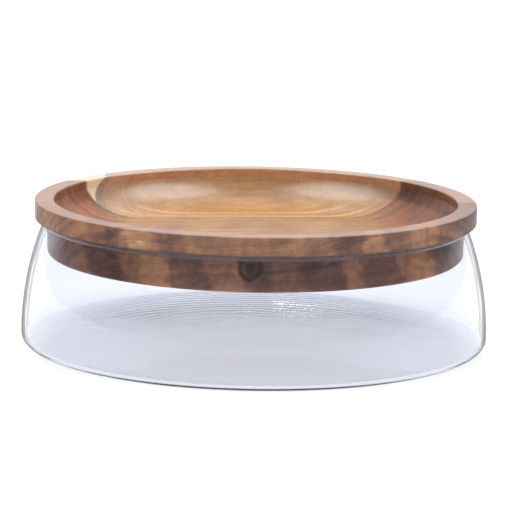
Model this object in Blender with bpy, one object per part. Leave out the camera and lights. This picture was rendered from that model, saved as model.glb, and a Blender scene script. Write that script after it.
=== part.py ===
"""Cheese dome: a turned wooden tray whose plug closes a clear glass bowl.

Stored closed and standing on the bowl's foot. Turned over, the tray is the board and the bowl is the dome.
Metres, +Z up, origin at the centre of the foot. The tray is glued up from staves that run along X.
"""
import math

import bmesh
import bpy
from mathutils import Vector

MM = 0.001
SEGMENTS = 96
CURVE_STEPS = 3
SHARP_ANGLE = math.radians(40.0)

# Driving dimensions
TRAY_RADIUS = 140.0 * MM
TOTAL_HEIGHT = 91.0 * MM
FLANGE_THICKNESS = 12.2 * MM
PLUG_DEPTH = 23.0 * MM
FLOOR_THICKNESS = 10.2 * MM
GLASS_THICKNESS = 2.3 * MM
WIDEST_GLASS_RADIUS = 148.4 * MM
PART_GAP = 0.3 * MM
PLUG_CLEARANCE = 0.6 * MM

# Tray
FLANGE_OVERHANG = 5.1 * MM
RIM_WIDTH = 12.3 * MM
BAND_HEIGHT = 5.7 * MM
COVE_RADIUS = 30.0 * MM
EDGE_ROUND = 1.2 * MM
PLUG_EDGE_ROUND = 4.5 * MM
TRAY_BOTTOM = TOTAL_HEIGHT - FLANGE_THICKNESS - PLUG_DEPTH
FLANGE_UNDERSIDE = TOTAL_HEIGHT - FLANGE_THICKNESS
DISH_FLOOR = TRAY_BOTTOM + FLOOR_THICKNESS
DISH_RADIUS = TRAY_RADIUS - RIM_WIDTH

# Glass bowl
MOUTH_OUTER_RADIUS = TRAY_RADIUS - FLANGE_OVERHANG
MOUTH_INNER_RADIUS = MOUTH_OUTER_RADIUS - GLASS_THICKNESS
PLUG_RADIUS = MOUTH_INNER_RADIUS - PLUG_CLEARANCE
GLASS_RIM = FLANGE_UNDERSIDE - PART_GAP
NECK_HEIGHT = 3.2 * MM
BEAD_RADIUS = 1.6 * MM
FOOT_ROUND = 6.0 * MM
INNER_FOOT_ROUND = 3.6 * MM
BASE_THICKNESS = 2.6 * MM
WALL_ROWS = 8

# Staves: each runs from one glue line to the next, back to front
BACK_GLUE_LINE = 73.0 * MM
FRONT_GLUE_LINE = -105.0 * MM
MIDDLE_GLUE_LINE = (BACK_GLUE_LINE + FRONT_GLUE_LINE) / 2.0
STAVE_LINES = {
    "stave_back": (BACK_GLUE_LINE, TRAY_RADIUS),
    "stave_middle_back": (MIDDLE_GLUE_LINE, BACK_GLUE_LINE),
    "stave_middle_front": (FRONT_GLUE_LINE, MIDDLE_GLUE_LINE),
    "stave_front": (-TRAY_RADIUS, FRONT_GLUE_LINE),
}
STAVE_COLOURS = {
    "stave_back": (0.33, 0.19, 0.12),
    "stave_middle_back": (0.42, 0.28, 0.20),
    "stave_middle_front": (0.40, 0.27, 0.19),
    "stave_front": (0.30, 0.18, 0.12),
}


def clear_scene():
    """Removes every object already in the scene."""
    for old in list(bpy.data.objects):
        bpy.data.objects.remove(old, do_unlink=True)


def material(name, colour, roughness, transmission=0.0):
    """Plain Principled material for one part."""
    made = bpy.data.materials.new(name)
    made.use_nodes = True
    surface = made.node_tree.nodes["Principled BSDF"]
    surface.inputs["Base Color"].default_value = (*colour, 1.0)
    surface.inputs["Roughness"].default_value = roughness
    surface.inputs["Metallic"].default_value = 0.0
    surface.inputs["Transmission Weight"].default_value = transmission
    return made


def arc(centre, radius, start, end, steps=CURVE_STEPS):
    """Points of a circular arc in the (radius, height) plane, angles in degrees, both ends included."""
    points = []
    for step in range(steps + 1):
        angle = math.radians(start + (end - start) * step / steps)
        points.append((centre[0] + radius * math.cos(angle), centre[1] + radius * math.sin(angle)))
    return points


def revolve(profile):
    """Closed body turned about Z; the profile runs from the underside's disc round to the inner disc."""
    body = bmesh.new()
    rings = []
    for radius, height in profile:
        ring = []
        for segment in range(SEGMENTS):
            angle = 2.0 * math.pi * segment / SEGMENTS
            ring.append(body.verts.new((radius * math.cos(angle), radius * math.sin(angle), height)))
        rings.append(ring)
    for first, second in zip(rings, rings[1:]):
        for segment in range(SEGMENTS):
            following = (segment + 1) % SEGMENTS
            body.faces.new((first[segment], first[following], second[following], second[segment]))
    body.faces.new(list(reversed(rings[0])))
    body.faces.new(rings[-1])
    bmesh.ops.recalc_face_normals(body, faces=body.faces)
    return body


def wall_radius(height):
    """Outer radius of the glass wall: a shallow arc between the top of the foot curve and the neck."""
    neck = GLASS_RIM - NECK_HEIGHT
    rise = neck - FOOT_ROUND
    spread = WIDEST_GLASS_RADIUS - MOUTH_OUTER_RADIUS
    wall_curve = (rise * rise + spread * spread) / (2.0 * spread)
    above_foot = height - FOOT_ROUND
    return WIDEST_GLASS_RADIUS - wall_curve + math.sqrt(wall_curve * wall_curve - above_foot * above_foot)


def bowl_profile():
    """Glass section: foot, flaring wall, short neck, round bead at the mouth and back down inside."""
    neck = GLASS_RIM - NECK_HEIGHT
    foot_centre = (WIDEST_GLASS_RADIUS - FOOT_ROUND, FOOT_ROUND)
    outer = arc(foot_centre, FOOT_ROUND, -90.0, 0.0, 2 * CURVE_STEPS)
    for row in range(1, WALL_ROWS + 1):
        height = FOOT_ROUND + (neck - FOOT_ROUND) * row / WALL_ROWS
        outer.append((wall_radius(height), height))
    bead_centre = MOUTH_INNER_RADIUS + BEAD_RADIUS
    bead_start = math.degrees(math.acos((MOUTH_OUTER_RADIUS - bead_centre) / BEAD_RADIUS))
    rim = arc((bead_centre, GLASS_RIM - BEAD_RADIUS), BEAD_RADIUS, -bead_start, 180.0, 3 * CURVE_STEPS)
    inner_start = BASE_THICKNESS + INNER_FOOT_ROUND
    inner = []
    for row in range(WALL_ROWS):
        height = neck + (inner_start - neck) * row / WALL_ROWS
        inner.append((wall_radius(height) - GLASS_THICKNESS, height))
    inner_radius = wall_radius(inner_start) - GLASS_THICKNESS
    corner = arc((inner_radius - INNER_FOOT_ROUND, inner_start), INNER_FOOT_ROUND, 0.0, -90.0)
    return outer + rim + inner + corner


def tray_profile():
    """Tray section: underside, plug, flange, rim face, and the dish with its upright band and cove."""
    plug_edge = arc((PLUG_RADIUS - PLUG_EDGE_ROUND, TRAY_BOTTOM + PLUG_EDGE_ROUND),
                    PLUG_EDGE_ROUND, -90.0, 0.0)
    under_flange = [(PLUG_RADIUS, FLANGE_UNDERSIDE)]
    lower_edge = arc((TRAY_RADIUS - EDGE_ROUND, FLANGE_UNDERSIDE + EDGE_ROUND), EDGE_ROUND, -90.0, 0.0)
    upper_edge = arc((TRAY_RADIUS - EDGE_ROUND, TOTAL_HEIGHT - EDGE_ROUND), EDGE_ROUND, 0.0, 90.0)
    dish_edge = arc((DISH_RADIUS + EDGE_ROUND, TOTAL_HEIGHT - EDGE_ROUND), EDGE_ROUND, 90.0, 180.0)
    cove_height = DISH_FLOOR + COVE_RADIUS
    cove_start = math.asin((TOTAL_HEIGHT - BAND_HEIGHT - cove_height) / COVE_RADIUS)
    cove_centre = DISH_RADIUS - COVE_RADIUS * math.cos(cove_start)
    cove = arc((cove_centre, cove_height), COVE_RADIUS, math.degrees(cove_start), -90.0, 3 * CURVE_STEPS)
    return plug_edge + under_flange + lower_edge + upper_edge + dish_edge + cove


def cut_away(body, plane_y, outward):
    """Removes the side of the body that lies in the outward direction and closes the cut."""
    geometry = list(body.verts) + list(body.edges) + list(body.faces)
    cut = bmesh.ops.bisect_plane(body, geom=geometry, plane_co=Vector((0.0, plane_y, 0.0)),
                                 plane_no=Vector((0.0, outward, 0.0)), clear_outer=True)
    rim = [item for item in cut["geom_cut"] if isinstance(item, bmesh.types.BMEdge)]
    bmesh.ops.contextual_create(body, geom=rim)


def add_part(name, body, surface):
    """Turns a body into a named object with smooth round faces and crisp edges."""
    bmesh.ops.recalc_face_normals(body, faces=body.faces)
    mesh = bpy.data.meshes.new(name)
    body.to_mesh(mesh)
    body.free()
    mesh.materials.append(surface)
    mesh.shade_smooth()
    mesh.set_sharp_from_angle(angle=SHARP_ANGLE)
    made = bpy.data.objects.new(name, mesh)
    bpy.context.scene.collection.objects.link(made)
    return made


def make_bowl():
    """Clear glass bowl."""
    glass = material("clear_glass", (0.93, 0.96, 0.97), 0.03, transmission=1.0)
    add_part("glass_bowl", revolve(bowl_profile()), glass)


def make_stave(name):
    """One stave of the tray, cut back from its glue lines by half the gap between parts."""
    front, back = STAVE_LINES[name]
    body = revolve(tray_profile())
    if back < TRAY_RADIUS:
        cut_away(body, back - PART_GAP / 2.0, 1.0)
    if front > -TRAY_RADIUS:
        cut_away(body, front + PART_GAP / 2.0, -1.0)
    add_part(name, body, material("acacia_" + name, STAVE_COLOURS[name], 0.45))


clear_scene()
make_bowl()
for stave_name in STAVE_LINES:
    make_stave(stave_name)
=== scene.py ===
"""Looks of the cheese dome: a clear glass bowl closed by a turned acacia tray.

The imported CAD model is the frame. Each stave and the bowl get a finer turned mesh in the same place.
Metres, +Z up, origin at the centre of the bowl's foot; the staves and their grain run along X.
"""
import math

import bmesh
import bpy
from mathutils import Matrix, Vector


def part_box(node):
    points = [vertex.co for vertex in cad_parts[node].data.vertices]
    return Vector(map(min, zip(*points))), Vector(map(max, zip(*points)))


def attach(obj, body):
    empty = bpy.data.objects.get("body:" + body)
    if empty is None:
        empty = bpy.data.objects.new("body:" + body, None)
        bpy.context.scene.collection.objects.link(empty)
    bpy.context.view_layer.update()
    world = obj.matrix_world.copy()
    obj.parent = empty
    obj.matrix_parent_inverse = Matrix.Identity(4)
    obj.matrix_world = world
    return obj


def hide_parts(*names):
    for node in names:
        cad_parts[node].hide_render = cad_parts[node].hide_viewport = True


MM = 0.001
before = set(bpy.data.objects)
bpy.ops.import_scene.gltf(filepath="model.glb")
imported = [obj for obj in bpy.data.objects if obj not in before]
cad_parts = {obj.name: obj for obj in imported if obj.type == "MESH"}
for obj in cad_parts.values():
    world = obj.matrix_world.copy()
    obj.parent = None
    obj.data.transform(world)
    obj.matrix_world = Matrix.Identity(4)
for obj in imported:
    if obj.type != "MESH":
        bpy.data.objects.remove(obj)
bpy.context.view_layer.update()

# Sizes read from the CAD model
BOWL_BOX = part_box("glass_bowl")
WIDE_STAVE_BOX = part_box("stave_middle_back")
TRAY_RADIUS = WIDE_STAVE_BOX[1].x
TRAY_TOP = WIDE_STAVE_BOX[1].z
TRAY_BOTTOM = WIDE_STAVE_BOX[0].z
GLASS_RIM = BOWL_BOX[1].z
WIDEST_GLASS_RADIUS = BOWL_BOX[1].x
STAVES = ("stave_back", "stave_middle_back", "stave_middle_front", "stave_front")

# Sections, as the CAD model has them
FLANGE_THICKNESS = 12.2 * MM
FLANGE_OVERHANG = 5.1 * MM
GLASS_THICKNESS = 2.3 * MM
PLUG_CLEARANCE = 0.6 * MM
RIM_WIDTH = 12.3 * MM
FLOOR_THICKNESS = 10.2 * MM
BAND_HEIGHT = 5.7 * MM
COVE_RADIUS = 30.0 * MM
EDGE_ROUND = 1.2 * MM
PLUG_EDGE_ROUND = 4.5 * MM
CAD_STAVE_GAP = 0.3 * MM
GLUE_LINE = 0.08 * MM
FLANGE_UNDERSIDE = TRAY_TOP - FLANGE_THICKNESS
DISH_FLOOR = TRAY_BOTTOM + FLOOR_THICKNESS
DISH_RADIUS = TRAY_RADIUS - RIM_WIDTH
MOUTH_OUTER_RADIUS = TRAY_RADIUS - FLANGE_OVERHANG
PLUG_RADIUS = MOUTH_OUTER_RADIUS - GLASS_THICKNESS - PLUG_CLEARANCE
NECK_HEIGHT = 3.2 * MM
BEAD_RADIUS = 1.6 * MM
FOOT_ROUND = 6.0 * MM
INNER_FOOT_ROUND = 3.6 * MM
BASE_THICKNESS = 2.6 * MM

# Fineness of the turned meshes
SEGMENTS = 256
CURVE_STEPS = 8
WALL_ROWS = 24
SHARP_ANGLE = math.radians(16.0)

# Camera: a long lens just above the rim
VIEW_AZIMUTH = math.radians(-6.0)
VIEW_ELEVATION = math.radians(9.27)
VIEW_DISTANCE = 1.65
VIEW_ROLL = math.radians(1.0)
AIM_BELOW_RIM = math.radians(1.24)
LENS_MM = 183.5


# ---------------------------------------------------------------- turned meshes

def arc(centre, radius, start, end, steps=CURVE_STEPS):
    """Points of a circular arc in the (radius, height) plane, angles in degrees, both ends included."""
    points = []
    for step in range(steps + 1):
        angle = math.radians(start + (end - start) * step / steps)
        points.append((centre[0] + radius * math.cos(angle), centre[1] + radius * math.sin(angle)))
    return points


def revolve(profile):
    """Closed body turned about Z; the profile runs from the underside's disc round to the inner disc."""
    body = bmesh.new()
    rings = []
    for radius, height in profile:
        ring = []
        for segment in range(SEGMENTS):
            angle = 2.0 * math.pi * segment / SEGMENTS
            ring.append(body.verts.new((radius * math.cos(angle), radius * math.sin(angle), height)))
        rings.append(ring)
    for first, second in zip(rings, rings[1:]):
        for segment in range(SEGMENTS):
            following = (segment + 1) % SEGMENTS
            body.faces.new((first[segment], first[following], second[following], second[segment]))
    body.faces.new(list(reversed(rings[0])))
    body.faces.new(rings[-1])
    bmesh.ops.recalc_face_normals(body, faces=body.faces)
    return body


def cut_away(body, plane_y, outward):
    """Removes the side of the body that lies in the outward direction and closes the cut."""
    geometry = list(body.verts) + list(body.edges) + list(body.faces)
    cut = bmesh.ops.bisect_plane(body, geom=geometry, plane_co=Vector((0.0, plane_y, 0.0)),
                                 plane_no=Vector((0.0, outward, 0.0)), clear_outer=True)
    rim = [item for item in cut["geom_cut"] if isinstance(item, bmesh.types.BMEdge)]
    bmesh.ops.contextual_create(body, geom=rim)


def wall_radius(height):
    """Outer radius of the glass wall: a shallow arc between the top of the foot curve and the neck."""
    neck = GLASS_RIM - NECK_HEIGHT
    rise = neck - FOOT_ROUND
    spread = WIDEST_GLASS_RADIUS - MOUTH_OUTER_RADIUS
    wall_curve = (rise * rise + spread * spread) / (2.0 * spread)
    above_foot = height - FOOT_ROUND
    return WIDEST_GLASS_RADIUS - wall_curve + math.sqrt(wall_curve * wall_curve - above_foot * above_foot)


def bowl_profile():
    """Glass section: foot, flaring wall, short neck, round bead at the mouth and back down inside."""
    neck = GLASS_RIM - NECK_HEIGHT
    foot_centre = (WIDEST_GLASS_RADIUS - FOOT_ROUND, FOOT_ROUND)
    outer = arc(foot_centre, FOOT_ROUND, -90.0, 0.0, 2 * CURVE_STEPS)
    for row in range(1, WALL_ROWS + 1):
        height = FOOT_ROUND + (neck - FOOT_ROUND) * row / WALL_ROWS
        outer.append((wall_radius(height), height))
    bead_centre = MOUTH_OUTER_RADIUS - GLASS_THICKNESS + BEAD_RADIUS
    bead_start = math.degrees(math.acos((MOUTH_OUTER_RADIUS - bead_centre) / BEAD_RADIUS))
    rim = arc((bead_centre, GLASS_RIM - BEAD_RADIUS), BEAD_RADIUS, -bead_start, 180.0, 3 * CURVE_STEPS)
    inner_start = BASE_THICKNESS + INNER_FOOT_ROUND
    inner = []
    for row in range(WALL_ROWS):
        height = neck + (inner_start - neck) * row / WALL_ROWS
        inner.append((wall_radius(height) - GLASS_THICKNESS, height))
    inner_radius = wall_radius(inner_start) - GLASS_THICKNESS
    corner = arc((inner_radius - INNER_FOOT_ROUND, inner_start), INNER_FOOT_ROUND, 0.0, -90.0)
    return outer + rim + inner + corner


def tray_profile():
    """Tray section: underside, plug, flange, rim face, and the dish with its upright band and cove."""
    plug_edge = arc((PLUG_RADIUS - PLUG_EDGE_ROUND, TRAY_BOTTOM + PLUG_EDGE_ROUND),
                    PLUG_EDGE_ROUND, -90.0, 0.0)
    under_flange = [(PLUG_RADIUS, FLANGE_UNDERSIDE)]
    lower_edge = arc((TRAY_RADIUS - EDGE_ROUND, FLANGE_UNDERSIDE + EDGE_ROUND), EDGE_ROUND, -90.0, 0.0)
    upper_edge = arc((TRAY_RADIUS - EDGE_ROUND, TRAY_TOP - EDGE_ROUND), EDGE_ROUND, 0.0, 90.0)
    dish_edge = arc((DISH_RADIUS + EDGE_ROUND, TRAY_TOP - EDGE_ROUND), EDGE_ROUND, 90.0, 180.0)
    cove_height = DISH_FLOOR + COVE_RADIUS
    cove_start = math.asin((TRAY_TOP - BAND_HEIGHT - cove_height) / COVE_RADIUS)
    cove_centre = DISH_RADIUS - COVE_RADIUS * math.cos(cove_start)
    cove = arc((cove_centre, cove_height), COVE_RADIUS, math.degrees(cove_start), -90.0, 3 * CURVE_STEPS)
    return plug_edge + under_flange + lower_edge + upper_edge + dish_edge + cove


def add_piece(name, body, surface, body_name, node):
    """Turns a body into a piece that rides on a CAD body and stands for one CAD node."""
    bmesh.ops.recalc_face_normals(body, faces=body.faces)
    mesh = bpy.data.meshes.new(name)
    body.to_mesh(mesh)
    body.free()
    mesh.materials.append(surface)
    mesh.shade_smooth()
    mesh.set_sharp_from_angle(angle=SHARP_ANGLE)
    piece = bpy.data.objects.new(name, mesh)
    bpy.context.scene.collection.objects.link(piece)
    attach(piece, body_name)
    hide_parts(node)


# ---------------------------------------------------------------- node helpers

class Graph:
    """Short forms for wiring the nodes of a material or of the world."""

    def __init__(self, owner):
        owner.use_nodes = True
        self.owner = owner
        self.nodes = owner.node_tree.nodes
        self.links = owner.node_tree.links

    def feed(self, socket, value):
        """Links a socket, or sets it to a plain value."""
        if isinstance(value, bpy.types.NodeSocket):
            self.links.new(value, socket)
        else:
            socket.default_value = value

    def feed_all(self, node, values):
        """Feeds several named inputs of one node."""
        for name, value in values.items():
            self.feed(node.inputs[name], value)

    def position(self):
        """Position in the piece's own space, which is the object's frame in metres."""
        return self.nodes.new("ShaderNodeTexCoord").outputs["Object"]

    def math(self, operation, first, second=0.0, third=0.0, clamp=False):
        """One arithmetic step."""
        node = self.nodes.new("ShaderNodeMath")
        node.operation = operation
        node.use_clamp = clamp
        for socket, value in zip(node.inputs, (first, second, third)):
            self.feed(socket, value)
        return node.outputs[0]

    def length(self, first, second):
        """Distance from the origin in a plane."""
        squares = [self.math("MULTIPLY", value, value) for value in (first, second)]
        return self.math("SQRT", self.math("ADD", *squares))

    def away_from(self, value, centre):
        """How far value is from centre, on either side."""
        return self.math("ABSOLUTE", self.math("SUBTRACT", value, centre))

    def centred(self, value, amount, base):
        """base plus amount times how far a 0..1 value is from its middle."""
        return self.math("MULTIPLY_ADD", self.math("SUBTRACT", value, 0.5), amount, base)

    def place(self, vector, move=(0.0, 0.0, 0.0), scale=(1.0, 1.0, 1.0)):
        """The position stretched by scale, then moved."""
        node = self.nodes.new("ShaderNodeMapping")
        self.feed_all(node, {"Vector": vector, "Location": move, "Scale": scale})
        return node.outputs[0]

    def split(self, vector):
        """The three parts of a vector or colour."""
        node = self.nodes.new("ShaderNodeSeparateXYZ")
        self.feed(node.inputs[0], vector)
        return tuple(node.outputs)

    def noise(self, vector, detail=2.0, roughness=0.5):
        """Noise in space; its size is set by the placing of the vector."""
        node = self.nodes.new("ShaderNodeTexNoise")
        self.feed_all(node, {"Vector": vector, "Scale": 1.0, "Detail": detail, "Roughness": roughness})
        return node.outputs

    def band_noise(self, value, scale, detail, roughness=0.5):
        """Noise along one value, which draws bands."""
        node = self.nodes.new("ShaderNodeTexNoise")
        node.noise_dimensions = "1D"
        self.feed_all(node, {"W": value, "Scale": scale, "Detail": detail, "Roughness": roughness})
        return node.outputs[0]

    def steps(self, value, start, end, low=0.0, high=1.0):
        """Smooth step of value from start to end, mapped to low..high."""
        node = self.nodes.new("ShaderNodeMapRange")
        node.interpolation_type = "SMOOTHSTEP"
        self.feed_all(node, {"Value": value, "From Min": start, "From Max": end, "To Min": low,
                             "To Max": high})
        return node.outputs[0]

    def ramp(self, value, stops, interpolation="LINEAR"):
        """Colour ramp; stops are (position, colour or grey)."""
        node = self.nodes.new("ShaderNodeValToRGB")
        node.color_ramp.interpolation = interpolation
        elements = node.color_ramp.elements
        while len(elements) < len(stops):
            elements.new(1.0)
        for element, (position, colour) in zip(elements, stops):
            element.position = position
            rgb = colour if isinstance(colour, tuple) else (colour, colour, colour)
            element.color = (*rgb, 1.0)
        self.feed(node.inputs[0], value)
        return node.outputs[0]

    def mix(self, factor, first, second, blend="MIX"):
        """Two colours mixed by factor."""
        node = self.nodes.new("ShaderNodeMix")
        node.data_type = "RGBA"
        node.blend_type = blend
        self.feed(node.inputs[0], factor)
        for socket, colour in ((node.inputs[6], first), (node.inputs[7], second)):
            self.feed(socket, (*colour, 1.0) if isinstance(colour, tuple) else colour)
        return node.outputs[2]

    def bump(self, height, distance, strength):
        """Surface direction tilted by a height; distance is the height's size in metres."""
        node = self.nodes.new("ShaderNodeBump")
        self.feed_all(node, {"Strength": strength, "Distance": distance, "Height": height})
        return node.outputs[0]


# ---------------------------------------------------------------- acacia

DARK = (0.072, 0.040, 0.032)
BROWN = (0.155, 0.080, 0.055)
RED_BROWN = (0.250, 0.124, 0.074)
GOLD = (0.360, 0.190, 0.090)
TAN = (0.50, 0.31, 0.175)
CREAM = (0.78, 0.60, 0.41)
PALE_CREAM = (0.95, 0.76, 0.54)
GREY_BROWN = (0.30, 0.215, 0.155)
PINK_TAN = (0.50, 0.31, 0.21)
# Pale pinkish tan painted on the rim's flat top as a painted sheen
RIM_PAINTED_SHEEN = (0.40, 0.29, 0.25)

# Each stave was sawn from a different place in the log. pith is where the log's centre lies across the
# stave (y, z in mm) and lean how much it wanders along the stave. The figures are the dark and light
# patches along it as (x in mm, tone), one for the flange and dish and one for the plug below them.
PLAIN_FIGURE = ((-140.0, 0.5), (140.0, 0.5))
LOOKS = {
    "stave_back": {
        "pith": (150.0, -20.0), "lean": (0.01, 0.05), "tone": 0.68, "rings": 0.09, "blotches": 0.09,
        "warmth": (1.03, 0.95, 0.70), "wander": 7.0, "shine": 1.0, "roughness": 0.17,
        "figure": ((-100.0, 0.50), (-60.0, 0.50), (0.0, 0.54), (40.0, 0.51), (70.0, 0.45), (100.0, 0.36)),
        "plug_figure": PLAIN_FIGURE},
    "stave_middle_back": {
        "pith": (-160.0, 20.0), "lean": (0.02, 0.03), "tone": 0.60, "rings": 0.18, "blotches": 0.16,
        "warmth": (0.95, 1.0, 1.0), "wander": 12.0, "shine": 0.45, "roughness": 0.24,
        "figure": ((-140.0, 0.30), (-112.0, 0.28), (-98.0, 0.40), (-80.0, 0.50), (80.0, 0.50), (94.0, 0.38),
                   (106.0, 0.05), (124.0, 0.02), (134.0, 0.30)),
        "plug_figure": ((-140.0, 0.30), (-105.0, 0.38), (-80.0, 0.48), (50.0, 0.50), (85.0, 0.42),
                        (105.0, 0.24), (140.0, 0.1))},
    "stave_middle_front": {
        "pith": (-118.0, -8.0), "lean": (0.03, -0.02), "tone": 0.465, "rings": 0.20, "blotches": 0.24,
        "warmth": (1.03, 0.99, 1.04), "wander": 16.0, "shine": 0.10, "roughness": 0.30,
        "figure": ((-140.0, 0.42), (-126.0, 0.50), (-117.0, 0.42), (-108.0, 0.50), (-102.0, 0.34),
                   (-97.0, 0.26), (-91.0, 0.46), (-80.0, 0.5), (80.0, 0.5), (92.0, 0.56), (101.0, 0.52),
                   (108.0, 0.32), (116.0, 0.34), (124.0, 0.12), (140.0, 0.06)),
        "plug_figure": ((-132.0, 0.16), (-124.0, 0.26), (-117.0, 0.44), (-110.0, 0.08), (-97.0, 0.06),
                        (-90.0, 0.36), (-80.0, 0.48), (74.0, 0.56), (92.0, 0.58), (99.0, 0.26),
                        (108.0, 0.06), (118.0, 0.16), (124.0, 0.04), (131.0, 0.04))},
    "stave_front": {
        "pith": (-95.0, -120.0), "lean": (0.05, 0.12), "tone": 0.49, "rings": 0.20, "blotches": 0.26,
        "warmth": (1.03, 1.00, 1.06), "wander": 22.0, "shine": 0.25, "roughness": 0.30,
        "figure": ((-95.0, 0.40), (-88.0, 0.45), (-84.0, 0.64), (-71.0, 0.60), (-66.0, 0.30), (-59.0, 0.26),
                   (-52.0, 0.42), (-25.0, 0.48), (-5.0, 0.46), (18.0, 0.52), (30.0, 0.46), (37.0, 0.22),
                   (51.0, 0.24), (56.0, 0.54), (65.0, 0.58), (70.0, 0.34), (79.0, 0.34), (86.0, 0.54),
                   (96.0, 0.50)),
        "plug_figure": ((-80.0, 0.62), (-69.0, 0.64), (-64.0, 0.24), (-50.0, 0.20), (-44.0, 0.48),
                        (-28.0, 0.44), (-20.0, 0.20), (-10.0, 0.18), (-4.0, 0.34), (8.0, 0.30),
                        (14.0, 0.14), (34.0, 0.14), (39.0, 0.44), (47.0, 0.42), (50.0, 0.24), (70.0, 0.26),
                        (74.0, 0.50))},
}
WOOD_COLOURS = ((0.0, DARK), (0.25, BROWN), (0.45, RED_BROWN), (0.64, GOLD), (0.82, TAN), (1.0, CREAM))
PLUG_WARMTH = (1.30, 1.18, 1.03)
END_WARMTH = (1.20, 0.88, 0.70)
# Painted light on the dish's upright band below the rim, which the lamps leave in shade: brighter and
# pinker
BAND_PAINTED_LIGHT = (1.45, 1.28, 1.75)
KNOT_COLOUR = (0.020, 0.014, 0.012)

# Measures of the wood in mm, with strengths from 0 to 1. SEED_STEP sets the staves apart in the noise.
# FIGURE_SLANT is the shift along the stave per mm of height, SAPWOOD_BOW the shift per square mm.
SEED_STEP = 37.0
PITH_DRIFT = 16.0
FIGURE_SPAN = 290.0
FIGURE_SLANT = 0.30
END_START = 84.0
END_FULL = 104.0
GLUE_SEAM = 2.2
GLUE_STRENGTH = 0.45
# Strength of the painted sheen on the rim's flat top
RIM_SHEEN_STRENGTH = 0.5
# Strength of the painted shade where the plug meets the flange
CORNER_SHADE_STRENGTH = 0.85
SAPWOOD_EDGE = -98.5
SAPWOOD_BOW_HEIGHT = 80.0
SAPWOOD_BOW = -0.06
KNOT_CENTRE = (-16.5, 0.0, 71.0)
KNOT_RADIUS = 6.5
FLANGE_UNDERSIDE_MM = FLANGE_UNDERSIDE / MM
TRAY_TOP_MM = TRAY_TOP / MM
TRAY_BOTTOM_MM = TRAY_BOTTOM / MM
BAND_FOOT_MM = (TRAY_TOP - BAND_HEIGHT) / MM
DISH_FLOOR_MM = DISH_FLOOR / MM
DISH_RADIUS_MM = DISH_RADIUS / MM
BACK_JOINT_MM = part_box("stave_back")[0].y / MM

# Lines beside the back stave's glue line: distance from it in mm, colour and strength
GRAIN_LINES = ((3.0, GREY_BROWN, 0.55), (8.0, PALE_CREAM, 0.22), (15.5, GREY_BROWN, 0.50),
               (20.0, PALE_CREAM, 0.18), (26.0, RED_BROWN, 0.20))


def growth_rings(g, mm, axes, look, seed):
    """Broad and fine rings: bands by the distance from a pith that wanders along the stave."""
    x, y, z = axes
    drift = g.noise(g.place(mm, move=(seed, 0.0, 0.0), scale=(0.012, 0.03, 0.03)), detail=3.0)
    drift_y, drift_z, _ = g.split(drift["Color"])
    pith_y = g.math("MULTIPLY_ADD", x, look["lean"][0], look["pith"][0])
    pith_z = g.math("MULTIPLY_ADD", x, look["lean"][1], look["pith"][1])
    across = g.math("SUBTRACT", g.centred(drift_y, PITH_DRIFT, y), pith_y)
    up = g.math("SUBTRACT", g.centred(drift_z, PITH_DRIFT, z), pith_z)
    ring = g.math("ADD", g.length(across, up), seed)
    wide = g.band_noise(ring, 0.20, detail=1.0)
    fine = g.band_noise(ring, 0.9, detail=3.0, roughness=0.6)
    return wide, fine


def figure_tone(g, along, figure):
    """Tone of the figure at a place along the stave, as an amount to add."""
    stops = [(0.5 + position / FIGURE_SPAN, tone) for position, tone in figure]
    spread = g.math("MULTIPLY_ADD", along, 1.0 / FIGURE_SPAN, 0.5)
    return g.math("SUBTRACT", g.split(g.ramp(spread, stops, "EASE"))[0], 0.5)


def stave_figure(g, mm, axes, look, seed):
    """Patches along the stave with wandering, slanted edges; the plug below the flange has its own."""
    x, _, z = axes
    wobble = g.noise(g.place(mm, move=(seed, 0.0, 0.0), scale=(0.05, 0.05, 0.11)), detail=4.0,
                     roughness=0.6)["Fac"]
    along = g.centred(wobble, look["wander"], x)
    along = g.math("MULTIPLY_ADD", g.math("SUBTRACT", z, FLANGE_UNDERSIDE_MM), FIGURE_SLANT, along)
    above_plug = g.steps(z, FLANGE_UNDERSIDE_MM - 1.5, FLANGE_UNDERSIDE_MM + 0.5)
    flange_figure = figure_tone(g, along, look["figure"])
    plug_figure = figure_tone(g, along, look["plug_figure"])
    contrast = g.math("SUBTRACT", flange_figure, plug_figure)
    return g.math("MULTIPLY_ADD", contrast, above_plug, plug_figure)


def mottling(g, mm, seed):
    """Large and small soft blotches, somewhat wider across the grain than along it."""
    large = g.noise(g.place(mm, move=(0.0, seed, 0.0), scale=(0.07, 0.04, 0.05)), detail=2.0)["Fac"]
    small = g.noise(g.place(mm, move=(0.0, seed, 9.0), scale=(0.26, 0.16, 0.22)), detail=3.0,
                    roughness=0.6)["Fac"]
    return large, small


def straight_grain(g, mm, seed):
    """Long faint bands, fibres and pores, all running along the stave."""
    bands = g.noise(g.place(mm, move=(0.0, seed, 0.0), scale=(0.004, 0.20, 0.20)), detail=3.0,
                    roughness=0.6)["Fac"]
    fibres = g.noise(g.place(mm, scale=(0.07, 1.9, 1.9)), detail=5.0, roughness=0.7)["Fac"]
    pore_noise = g.noise(g.place(mm, scale=(0.30, 2.9, 2.9)), detail=1.0)["Fac"]
    return bands, fibres, g.steps(pore_noise, 0.60, 0.72)


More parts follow.
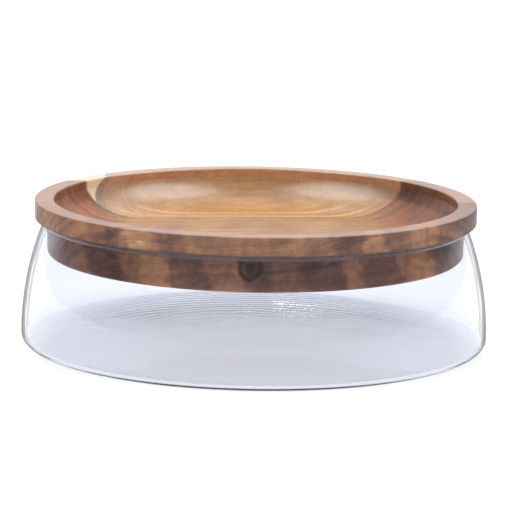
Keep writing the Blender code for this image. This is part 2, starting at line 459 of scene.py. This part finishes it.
def sapwood(g, x, z, fibres, colour):
    """Pale sapwood at the back stave's left end and the bands beside it, and painted light that lifts the
    dish's upright band below the rim, which also turns it pinker.
    """
    rise = g.math("SUBTRACT", z, SAPWOOD_BOW_HEIGHT)
    bow = g.math("MULTIPLY", g.math("MULTIPLY", rise, rise), SAPWOOD_BOW)
    place = g.centred(fibres, 2.5, g.math("ADD", x, bow))
    # Painted light: the upright band below the rim is made brighter and pinker
    wall = g.math("MULTIPLY", g.steps(z, BAND_FOOT_MM - 1.1, BAND_FOOT_MM + 0.9),
                  g.steps(z, TRAY_TOP_MM - 1.2, TRAY_TOP_MM - 0.1, 1.0, 0.0))
    colour = g.mix(wall, colour, BAND_PAINTED_LIGHT, "MULTIPLY")
    colour = g.mix(g.steps(place, SAPWOOD_EDGE + 12.0, SAPWOOD_EDGE + 22.0, 0.5, 0.0), colour, PINK_TAN)
    beside = g.away_from(place, SAPWOOD_EDGE + 19.0)
    colour = g.mix(g.steps(beside, 0.2, 1.0, 0.16, 0.0), colour, CREAM)
    colour = g.mix(g.steps(place, SAPWOOD_EDGE + 4.0, SAPWOOD_EDGE + 6.5, 0.8, 0.0), colour, GREY_BROWN)
    pale = g.ramp(fibres, [(0.35, CREAM), (0.60, PALE_CREAM)])
    return g.mix(g.steps(place, SAPWOOD_EDGE - 1.0, SAPWOOD_EDGE + 0.8, 1.0, 0.0), colour, pale)


def grain_lines(g, mm, colour):
    """Fine straight lines of late wood and pale wood beside the back stave's glue line."""
    bend = g.noise(g.place(mm, scale=(0.012, 0.02, 0.0)), detail=3.0)["Fac"]
    _, y, z = g.split(mm)
    place = g.centred(bend, 3.0, y)
    low = g.steps(z, DISH_FLOOR_MM + 2.0, DISH_FLOOR_MM + 9.0, 1.0, 0.15)
    for offset, shade, amount in GRAIN_LINES:
        away = g.away_from(place, BACK_JOINT_MM + offset)
        line = g.math("MULTIPLY", g.steps(away, 0.6, 2.2, amount, 0.0), low)
        colour = g.mix(line, colour, shade)
    return colour


def knot(g, mm):
    """Amount of black knot at each point: a ragged broken ring with a cracked, speckled heart."""
    warp = g.noise(g.place(mm, scale=(0.30, 0.05, 0.30)), detail=5.0, roughness=0.75)["Fac"]
    specks = g.noise(g.place(mm, scale=(0.85, 0.10, 0.85)), detail=3.0, roughness=0.7)["Fac"]
    offset = g.place(mm, move=tuple(-part for part in KNOT_CENTRE))
    across, _, up = g.split(offset)
    reach = g.centred(warp, 6.5, g.length(across, up))
    ring = g.math("MULTIPLY", g.steps(reach, KNOT_RADIUS - 2.6, KNOT_RADIUS - 1.0),
                  g.steps(reach, KNOT_RADIUS + 0.4, KNOT_RADIUS + 2.2, 1.0, 0.0))
    ring = g.math("MULTIPLY", ring, g.steps(specks, 0.36, 0.52, 0.40, 0.92))
    inside = g.steps(reach, KNOT_RADIUS - 1.0, KNOT_RADIUS + 1.0, 1.0, 0.0)
    heart = g.math("MULTIPLY", g.steps(reach, 1.5, 4.2, 0.85, 0.35), inside)
    return g.math("MULTIPLY", g.math("MAXIMUM", ring, heart), g.steps(specks, 0.60, 0.68, 1.0, 0.25))


def stave_marks(g, stave, mm, axes, fibres, colour):
    """The marks that only one stave has: lines, sapwood and the painted light on the dish's upright band,
    redder ends, or the knot.
    """
    x, _, z = axes
    if stave == "stave_back":
        colour = grain_lines(g, mm, colour)
        colour = sapwood(g, x, z, fibres, colour)
    if stave == "stave_middle_back":
        end = g.steps(g.math("ABSOLUTE", x), END_START, END_FULL)
        colour = g.mix(end, colour, END_WARMTH, "MULTIPLY")
    if stave == "stave_front":
        colour = g.mix(knot(g, mm), colour, KNOT_COLOUR)
    return colour


def outside_dish(g, x, y):
    """1 on the tray's outer side, 0 inside the dish."""
    return g.steps(g.length(x, y), DISH_RADIUS_MM + 0.5, DISH_RADIUS_MM + 1.5)


def on_plug(g, x, y, z):
    """1 on the plug's side and underside, 0 on the flange and in the dish."""
    underside = g.steps(z, TRAY_BOTTOM_MM + 1.0, TRAY_BOTTOM_MM + 3.0, 1.0, 0.0)
    below_flange = g.steps(z, FLANGE_UNDERSIDE_MM - 1.5, FLANGE_UNDERSIDE_MM + 0.5, 1.0, 0.0)
    return g.math("MULTIPLY", g.math("MAXIMUM", outside_dish(g, x, y), underside), below_flange)


def corner_shade(g, x, y, z):
    """How much painted shade darkens the plug's top where it meets the flange, and the flange's lower edge.
    """
    plug = g.steps(z, FLANGE_UNDERSIDE_MM - 4.5, FLANGE_UNDERSIDE_MM - 1.5, 0.0, CORNER_SHADE_STRENGTH)
    flange = g.steps(z, FLANGE_UNDERSIDE_MM + 0.1, FLANGE_UNDERSIDE_MM + 1.6, CORNER_SHADE_STRENGTH, 0.0)
    return g.math("MULTIPLY", outside_dish(g, x, y), g.math("MINIMUM", plug, flange))


def glue_lines(g, stave, y, colour):
    """Soft brown seams, about 2 mm wide on this stave's side, where it meets its neighbours."""
    low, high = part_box(stave)
    for edge in (low.y, high.y):
        if abs(edge) < TRAY_RADIUS - MM:
            near = g.away_from(y, edge / MM)
            colour = g.mix(g.steps(near, 0.2, GLUE_SEAM, GLUE_STRENGTH, 0.0), colour, BROWN)
    return colour


def acacia(stave):
    """Oiled acacia of one stave: growth rings about a pith, figure, fibres, pores and glue lines."""
    look = LOOKS[stave]
    g = Graph(bpy.data.materials.new("acacia_" + stave))
    seed = STAVES.index(stave) * SEED_STEP
    mm = g.place(g.position(), scale=(1.0 / MM, 1.0 / MM, 1.0 / MM))
    axes = g.split(mm)
    x, y, z = axes
    wide_rings, fine_rings = growth_rings(g, mm, axes, look, seed)
    figure = stave_figure(g, mm, axes, look, seed)
    large_blotches, small_blotches = mottling(g, mm, seed)
    bands, fibres, pores = straight_grain(g, mm, seed)

    tone = g.math("ADD", figure, look["tone"])
    tone = g.centred(wide_rings, look["rings"] * 2.0, tone)
    tone = g.centred(fine_rings, look["rings"] * 1.2, tone)
    tone = g.centred(large_blotches, look["blotches"] * 2.0, tone)
    tone = g.centred(small_blotches, look["blotches"] * 1.5, tone)
    tone = g.centred(bands, 0.34, tone)
    tone = g.centred(fibres, 0.32, tone)
    tone = g.math("MULTIPLY_ADD", pores, -0.16, tone, clamp=True)

    colour = g.ramp(tone, WOOD_COLOURS)
    colour = g.mix(1.0, colour, look["warmth"], "MULTIPLY")
    colour = g.mix(on_plug(g, x, y, z), colour, PLUG_WARMTH, "MULTIPLY")
    colour = stave_marks(g, stave, mm, axes, fibres, colour)
    # Painted sheen: the rim's flat top is mixed towards a pale pinkish tan
    painted_rim_sheen = g.steps(z, TRAY_TOP_MM - 0.8, TRAY_TOP_MM - 0.1, 0.0, RIM_SHEEN_STRENGTH)
    colour = g.mix(painted_rim_sheen, colour, RIM_PAINTED_SHEEN)
    # Painted shade in the corner under the flange, in the wood's darkest colour
    colour = g.mix(corner_shade(g, x, y, z), colour, DARK)
    colour = glue_lines(g, stave, y, colour)

    roughness = g.math("MULTIPLY_ADD", fibres, 0.20, look["roughness"])
    roughness = g.math("MULTIPLY_ADD", pores, 0.20, roughness)
    height = g.math("MULTIPLY_ADD", pores, -0.8, g.math("MULTIPLY", fibres, 0.4))
    g.feed_all(g.nodes["Principled BSDF"], {
        "Base Color": colour,
        "Roughness": roughness,
        "Normal": g.bump(height, 0.08 * MM, 0.5),
        "IOR": 1.5,
        "Specular IOR Level": look["shine"]})
    return g.owner


# ---------------------------------------------------------------- glass

GLASS_TINT = (0.878, 0.893, 0.940)
# Near-black colour painted on the glass towards its outline, a painted dark edge
EDGE_PAINTED_DARK = (0.006, 0.011, 0.008)
GLASS_IOR = 1.47
EDGE_IOR = 1.04
RIPPLE_HEIGHT = 0.6 * MM
RIPPLE_STRENGTH = 0.4
BASE_STREAKS = 0.1

# Share by which the surface has turned from the eye where an edge begins and where it is full
DARK_EDGE = (0.84, 0.90)
STRAIGHT_EDGE = (0.80, 0.90)


def clear_glass():
    """Hand-blown clear glass, faintly cool, with a slow unevenness; light passes it to reach the wood.

    Towards its outline its colour is painted near black, a painted shade in place of the dark surroundings
    that glass bends into view at its edge, and it stops bending what is behind it, which draws the edge as
    a fine line.
    """
    g = Graph(bpy.data.materials.new("clear_glass"))
    surface = g.nodes["Principled BSDF"]
    position = g.position()
    waves = g.noise(g.place(position, scale=(14.0, 14.0, 30.0)), detail=2.0)["Fac"]
    streaks = g.noise(g.place(position, scale=(9.0, 70.0, 1.0)), detail=2.0)["Fac"]
    height = g.split(position)[2]
    on_base = g.steps(height, BASE_THICKNESS + 0.2 * MM, BASE_THICKNESS + 2.0 * MM, BASE_STREAKS, 0.0)
    waves = g.math("MULTIPLY_ADD", streaks, on_base, waves)
    weight = g.nodes.new("ShaderNodeLayerWeight")
    weight.inputs["Blend"].default_value = 0.5
    turned_away = weight.outputs["Facing"]
    # Painted shade: the glass colour turns near black towards the outline
    edge = g.steps(turned_away, *DARK_EDGE)
    # The plain value stays beside the link, for an export that reads no nodes
    surface.inputs["IOR"].default_value = GLASS_IOR
    g.feed_all(surface, {
        "Base Color": g.mix(edge, GLASS_TINT, EDGE_PAINTED_DARK),
        "Roughness": 0.0,
        "IOR": g.steps(turned_away, *STRAIGHT_EDGE, GLASS_IOR, EDGE_IOR),
        "Transmission Weight": 1.0,
        "Normal": g.bump(waves, RIPPLE_HEIGHT, RIPPLE_STRENGTH)})

    path = g.nodes.new("ShaderNodeLightPath")
    lamp_rays = g.math("MAXIMUM", path.outputs["Is Shadow Ray"], path.outputs["Is Diffuse Ray"])
    through = g.nodes.new("ShaderNodeBsdfTransparent")
    through.inputs["Color"].default_value = (*GLASS_TINT, 1.0)
    both = g.nodes.new("ShaderNodeMixShader")
    g.feed(both.inputs[0], lamp_rays)
    g.feed(both.inputs[1], surface.outputs[0])
    g.feed(both.inputs[2], through.outputs[0])
    g.feed(g.nodes["Material Output"].inputs["Surface"], both.outputs[0])
    return g.owner


# ---------------------------------------------------------------- pieces

def make_bowl():
    """The glass bowl."""
    add_piece("bowl_glass", revolve(bowl_profile()), clear_glass(), "bowl", "glass_bowl")


def make_stave(stave):
    """One stave, reaching almost to its neighbours so that only a glue line parts them."""
    low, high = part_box(stave)
    reach = (CAD_STAVE_GAP - GLUE_LINE) / 2.0
    body = revolve(tray_profile())
    if high.y < TRAY_RADIUS - MM:
        cut_away(body, high.y + reach, 1.0)
    if low.y > MM - TRAY_RADIUS:
        cut_away(body, low.y - reach, -1.0)
    add_piece(stave + "_wood", body, acacia(stave), "tray", stave)


# ---------------------------------------------------------------- studio

FLOOR_SIZE = 30.0
FLOOR_DROP = 0.2 * MM
FLOOR_COLOUR = (0.38, 0.38, 0.385, 1.0)
FLOOR_GLOW_COLOUR = (0.97, 0.98, 1.0, 1.0)
FLOOR_GLOW = 0.67

# Brightness of the studio by direction. A span is the part of the direction's height, depth or width over
# which the brightness passes from the first level to the second.
STUDIO_COLOUR = (0.96, 0.98, 1.0, 1.0)
FRONT_HEIGHTS, FRONT_LEVELS = (0.0, 0.32), (1.05, 0.12)
BACK_HEIGHTS, BACK_LEVELS = (0.20, 0.45), (0.84, 1.0)
FRONT_TO_BACK = (-0.7, 0.2)
SIDE_WIDTHS, SIDE_LEVELS = (0.60, 0.85), (1.0, 0.10)
HORIZON_HEIGHTS, HORIZON_LEVELS = (0.0, 0.22), (0.9, 0.10)

# Lamps: azimuth from the front towards +X, elevation and spread in degrees, and strength
SIDE_LIGHT_AZIMUTH = 76.0
SIDE_LIGHT = (54.0, 42.0, 1.7)
BACK_LIGHT = (61.0, 6.0, 1.7)

LIGHT_BOUNCES = 32
TRANSPARENT_BOUNCES = 16
SENSOR_MM = 36.0


def make_floor():
    """Plain pale floor that runs far past the view; it glows a little, as a lit acrylic table does."""
    body = bmesh.new()
    bmesh.ops.create_grid(body, x_segments=1, y_segments=1, size=FLOOR_SIZE)
    mesh = bpy.data.meshes.new("studio_floor")
    body.to_mesh(mesh)
    body.free()
    g = Graph(bpy.data.materials.new("studio_floor"))
    g.feed_all(g.nodes["Principled BSDF"], {
        "Base Color": FLOOR_COLOUR,
        "Roughness": 1.0,
        "Specular IOR Level": 0.0,
        "Emission Color": FLOOR_GLOW_COLOUR,
        "Emission Strength": FLOOR_GLOW})
    mesh.materials.append(g.owner)
    floor = bpy.data.objects.new("studio_floor", mesh)
    floor.location.z = -FLOOR_DROP
    bpy.context.scene.collection.objects.link(floor)


def make_world():
    """Studio that is bright at the horizon, behind and overhead, and dark above the front and the sides."""
    world = bpy.data.worlds.new("studio")
    bpy.context.scene.world = world
    g = Graph(world)
    width, depth, height = g.split(g.nodes.new("ShaderNodeTexCoord").outputs["Generated"])
    level = g.nodes.new("ShaderNodeMix")
    g.feed_all(level, {
        "Factor": g.steps(depth, *FRONT_TO_BACK),
        "A": g.steps(height, *FRONT_HEIGHTS, *FRONT_LEVELS),
        "B": g.steps(height, *BACK_HEIGHTS, *BACK_LEVELS)})
    sides = g.steps(g.math("ABSOLUTE", width), *SIDE_WIDTHS, *SIDE_LEVELS)
    horizon = g.steps(height, *HORIZON_HEIGHTS, *HORIZON_LEVELS)
    strength = g.math("MULTIPLY", level.outputs["Result"], g.math("MAXIMUM", sides, horizon))
    g.feed_all(g.nodes["Background"], {"Color": STUDIO_COLOUR, "Strength": strength})


def towards(azimuth, elevation):
    """Direction from the object to a place around it; angles in radians, azimuth 0 is the front."""
    level = math.cos(elevation)
    return Vector((math.sin(azimuth) * level, -math.cos(azimuth) * level, math.sin(elevation)))


def add_studio_light(name, azimuth, elevation, spread, strength):
    """Broad even light from one side, its angles in degrees."""
    lamp = bpy.data.lights.new(name, "SUN")
    lamp.angle = math.radians(spread)
    lamp.energy = strength
    holder = bpy.data.objects.new(name, lamp)
    holder.rotation_mode = "QUATERNION"
    source = towards(math.radians(azimuth), math.radians(elevation))
    holder.rotation_quaternion = source.to_track_quat("Z", "Y")
    bpy.context.scene.collection.objects.link(holder)
    return holder


def make_lights():
    """Two broad side lights that draw the sheen on the cove, and one high behind that leaves no sheen."""
    add_studio_light("light_left", -SIDE_LIGHT_AZIMUTH, *SIDE_LIGHT)
    add_studio_light("light_right", SIDE_LIGHT_AZIMUTH, *SIDE_LIGHT)
    add_studio_light("light_back", 180.0, *BACK_LIGHT).visible_glossy = False


def make_camera():
    """Long lens just above the rim, aimed a little below it and rolled slightly."""
    data = bpy.data.cameras.new("camera")
    data.lens = LENS_MM
    data.sensor_width = SENSOR_MM
    camera = bpy.data.objects.new("camera", data)
    bpy.context.scene.collection.objects.link(camera)
    back = towards(VIEW_AZIMUTH, VIEW_ELEVATION)
    aim = (-back).to_track_quat("-Z", "Y").to_matrix()
    tilt = Matrix.Rotation(-AIM_BELOW_RIM, 3, "X")
    roll = Matrix.Rotation(VIEW_ROLL, 3, "Z")
    turned = (aim @ tilt @ roll).to_4x4()
    rim_centre = Vector((0.0, 0.0, TRAY_TOP))
    camera.matrix_world = Matrix.Translation(rim_centre + back * VIEW_DISTANCE) @ turned
    bpy.context.scene.camera = camera


def set_light_paths():
    """Enough bounces for light to cross the bowl's base, and natural colours."""
    scene = bpy.context.scene
    scene.view_settings.view_transform = "Standard"
    scene.cycles.max_bounces = LIGHT_BOUNCES
    scene.cycles.glossy_bounces = LIGHT_BOUNCES
    scene.cycles.transmission_bounces = LIGHT_BOUNCES
    scene.cycles.transparent_max_bounces = TRANSPARENT_BOUNCES


set_light_paths()
make_camera()
make_world()
make_lights()
make_floor()
make_bowl()
for stave_name in STAVES:
    make_stave(stave_name)
